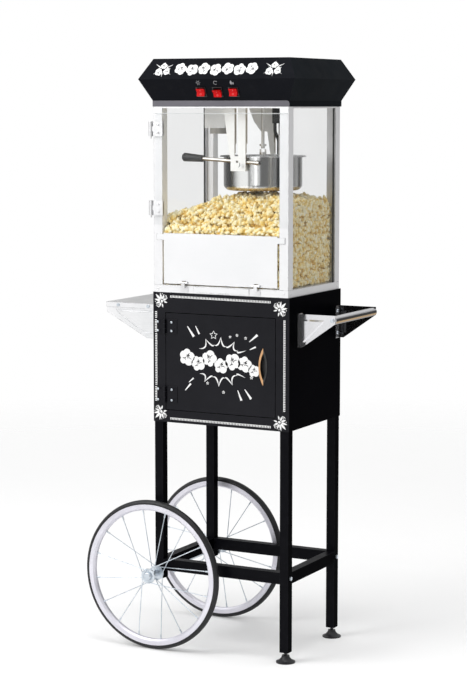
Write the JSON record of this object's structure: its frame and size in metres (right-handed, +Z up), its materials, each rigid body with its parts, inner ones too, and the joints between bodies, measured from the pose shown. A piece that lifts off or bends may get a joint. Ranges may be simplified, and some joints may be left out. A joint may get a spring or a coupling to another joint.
{
  "type": "popcorn cart",
  "caption": "Glass popcorn case with a tilting kettle on a black steel cabinet with a side shelf, push handle, spoked wheels and levelling feet.",
  "frame": {"origin": "bottom centre of the whole cart's box, on the floor", "axes": "+Z up, front with the doors towards -Y, push handle towards +X, shelf and wheels towards -X"},
  "size_m": [0.6939, 0.4332, 1.55],
  "materials": {
    "black_coat": "satin",
    "zinc": "satin",
    "rim_silver": "satin",
    "tyre_rubber": "matte",
    "foot_black": "matte",
    "shelf_steel": "satin",
    "handle_chrome": "polished",
    "case_alu": "satin",
    "floor_steel": "satin",
    "clear_glass": "polished",
    "seal_black": "matte",
    "panel_steel": "satin",
    "hinge_steel": "satin",
    "hanger_steel": "satin",
    "kettle_steel": "polished",
    "lid_black": "satin",
    "grip_black": "satin",
    "stir_steel": "satin",
    "motor_grey": "satin",
    "lamp_grey": "satin",
    "bulb_glass": "gloss",
    "cord_black": "satin",
    "fitting_black": "satin",
    "skirt_grey": "satin",
    "bezel_black": "gloss",
    "rocker_red": "gloss",
    "pull_black": "satin",
    "popcorn": "matte"
  },
  "bodies": {
    "frame": {"legs": "black_coat", "long_rails": "black_coat", "cross_rails": "black_coat", "frame_bolts": "zinc", "axle_rod": "zinc", "axle_nuts": "zinc", "cabinet_shell": "black_coat", "cabinet_pans": "black_coat", "shelf_tray": "shelf_steel", "shelf_brackets": "shelf_steel", "handle_tube": "handle_chrome", "handle_brackets": "handle_chrome", "bracket_bolts": "zinc", "case_posts": "case_alu", "case_base_frame": "case_alu", "case_top_rails": "case_alu", "case_floor_plate": "floor_steel", "drawer_guides": "case_alu", "ceiling_plate": "floor_steel", "case_glasses": "clear_glass", "case_seals": "seal_black", "kettle_hangers": "hanger_steel", "stir_motor": "motor_grey", "lamp_housing": "lamp_grey", "lamp_bulb": "bulb_glass", "kettle_cord": "cord_black", "electrical_fittings": "fitting_black", "canopy_shell": "black_coat", "canopy_trim": "skirt_grey", "switch_bezels": "bezel_black", "popcorn_heap": "popcorn", "case_hinge_plates": "hinge_steel", "cabinet_hinge_plates": "black_coat"},
    "wheel_front": {"tyre_front": "tyre_rubber", "rim_front": "rim_silver", "hub_front": "zinc", "spokes_front": "zinc"},
    "wheel_rear": {"tyre_rear": "tyre_rubber", "rim_rear": "rim_silver", "hub_rear": "zinc", "spokes_rear": "zinc"},
    "foot_front": {"foot_front": "foot_black"},
    "foot_rear": {"foot_rear": "foot_black"},
    "cabinet_door": {"cabinet_door": "black_coat", "cabinet_door_leaves": "black_coat", "door_pull": "pull_black"},
    "glass_door": {"door_glass": "clear_glass", "door_hinge_clamps": "hinge_steel"},
    "serving_panel": {"serving_panel": "panel_steel"},
    "crumb_drawer": {"crumb_drawer": "panel_steel"},
    "kettle": {"kettle_pot": "kettle_steel", "kettle_handle": "stir_steel", "kettle_grip": "grip_black"},
    "lid_left": {"kettle_lid_left": "lid_black"},
    "lid_right": {"kettle_lid_right": "kettle_steel"},
    "stirrer": {"stirrer": "stir_steel"},
    "drive_shaft": {"drive_shaft": "stir_steel"},
    "rocker_left": {"rocker_left": "rocker_red"},
    "rocker_middle": {"rocker_middle": "rocker_red"},
    "rocker_right": {"rocker_right": "rocker_red"}
  },
  "joints": [
    {"name": "wheel_front_spin", "type": "hinge", "parent": "frame", "child": "wheel_front", "pos_m": [-0.147, -0.187, 0.2], "axis": [0, 1, 0], "continuous": true},
    {"name": "wheel_rear_spin", "type": "hinge", "parent": "frame", "child": "wheel_rear", "pos_m": [-0.147, 0.187, 0.2], "axis": [0, 1, 0], "continuous": true},
    {"name": "foot_front_turn", "type": "hinge", "parent": "frame", "child": "foot_front", "pos_m": [0.225, -0.1415, 0], "axis": [0, 0, 1], "continuous": true},
    {"name": "foot_rear_turn", "type": "hinge", "parent": "frame", "child": "foot_rear", "pos_m": [0.225, 0.1415, 0], "axis": [0, 0, 1], "continuous": true},
    {"name": "cabinet_door_hinge", "type": "hinge", "parent": "frame", "child": "cabinet_door", "pos_m": [-0.121, -0.16, 0.769], "axis": [0, 0, -1], "range_deg": [0, 110]},
    {"name": "glass_door_hinge", "type": "hinge", "parent": "frame", "child": "glass_door", "pos_m": [-0.159, -0.16, 1.268], "axis": [0, 0, -1], "range_deg": [0, 110]},
    {"name": "serving_panel_drop", "type": "hinge", "parent": "frame", "child": "serving_panel", "pos_m": [0.041, -0.1605, 0.975], "axis": [1, 0, 0], "range_deg": [0, 90]},
    {"name": "crumb_drawer_slide", "type": "slide", "parent": "frame", "child": "crumb_drawer", "axis": [0, -1, 0], "range_m": [0, 0.15]},
    {"name": "kettle_tilt", "type": "hinge", "parent": "frame", "child": "kettle", "pos_m": [0.085, 0, 1.278], "axis": [0, -1, 0], "range_deg": [0, 45], "deforming": ["popcorn_heap"]},
    {"name": "lid_left_lift", "type": "hinge", "parent": "kettle", "child": "lid_left", "pos_m": [0.0752, 0, 1.3021], "axis": [0, 1, 0], "range_deg": [0, 70]},
    {"name": "lid_right_lift", "type": "hinge", "parent": "kettle", "child": "lid_right", "pos_m": [0.0948, 0, 1.3021], "axis": [0, -1, 0], "range_deg": [0, 70]},
    {"name": "stirrer_spin", "type": "hinge", "parent": "kettle", "child": "stirrer", "pos_m": [0.085, 0, 1.26], "axis": [0, 0, 1], "continuous": true},
    {"name": "drive_shaft_spin", "type": "hinge", "parent": "frame", "child": "drive_shaft", "pos_m": [0.085, 0, 1.38], "axis": [0, 0, 1], "continuous": true},
    {"name": "rocker_left_press", "type": "hinge", "parent": "frame", "child": "rocker_left", "pos_m": [-0.006, -0.16382, 1.46634], "axis": [1, 0, 0], "range_deg": [0, 20]},
    {"name": "rocker_middle_press", "type": "hinge", "parent": "frame", "child": "rocker_middle", "pos_m": [0.041, -0.16382, 1.46634], "axis": [1, 0, 0], "range_deg": [-20, 0]},
    {"name": "rocker_right_press", "type": "hinge", "parent": "frame", "child": "rocker_right", "pos_m": [0.087, -0.16382, 1.46634], "axis": [1, 0, 0], "range_deg": [0, 20]}
  ],
  "couplings": [
    {"joint": "drive_shaft_spin", "follows": "stirrer_spin", "ratio": 1}
  ]
}
